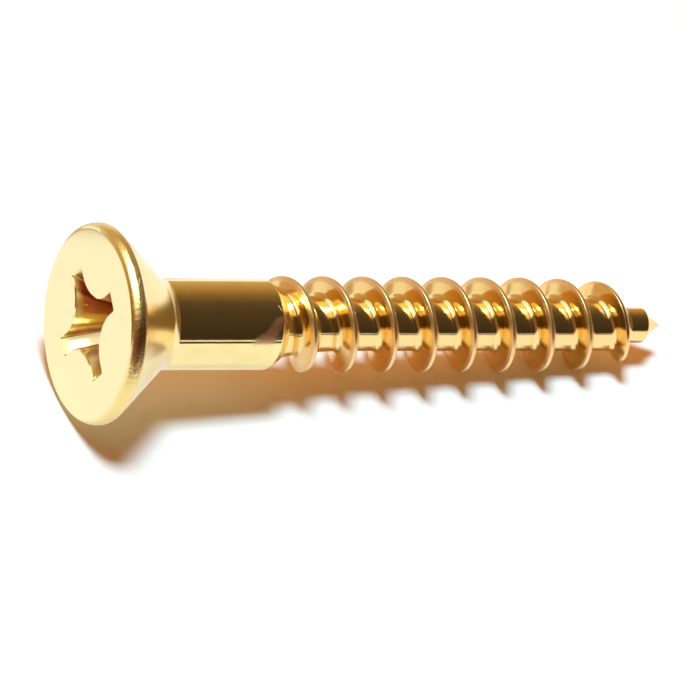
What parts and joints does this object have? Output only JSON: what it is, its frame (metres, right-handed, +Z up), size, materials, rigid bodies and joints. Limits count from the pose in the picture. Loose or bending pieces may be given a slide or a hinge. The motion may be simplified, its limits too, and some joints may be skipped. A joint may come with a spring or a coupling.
{
  "type": "flat head wood screw",
  "caption": "Countersunk flat head wood screw in polished brass, with a cross recess, a plain shank and a coarse tapering thread.",
  "frame": {"origin": "middle of the footprint, on the surface the screw lies on", "axes": "+X along the lying screw from its head to its point, +Z up; the screw's own axis dips about 5.6 degrees towards the point"},
  "size_m": [0.032, 0.0096, 0.0095],
  "materials": {
    "brass": "bright polished brass, with light rolling marks on the rim and fine draw lines on the shank"
  },
  "bodies": {
    "root": {"screw": "brass"}
  },
  "joints": []
}
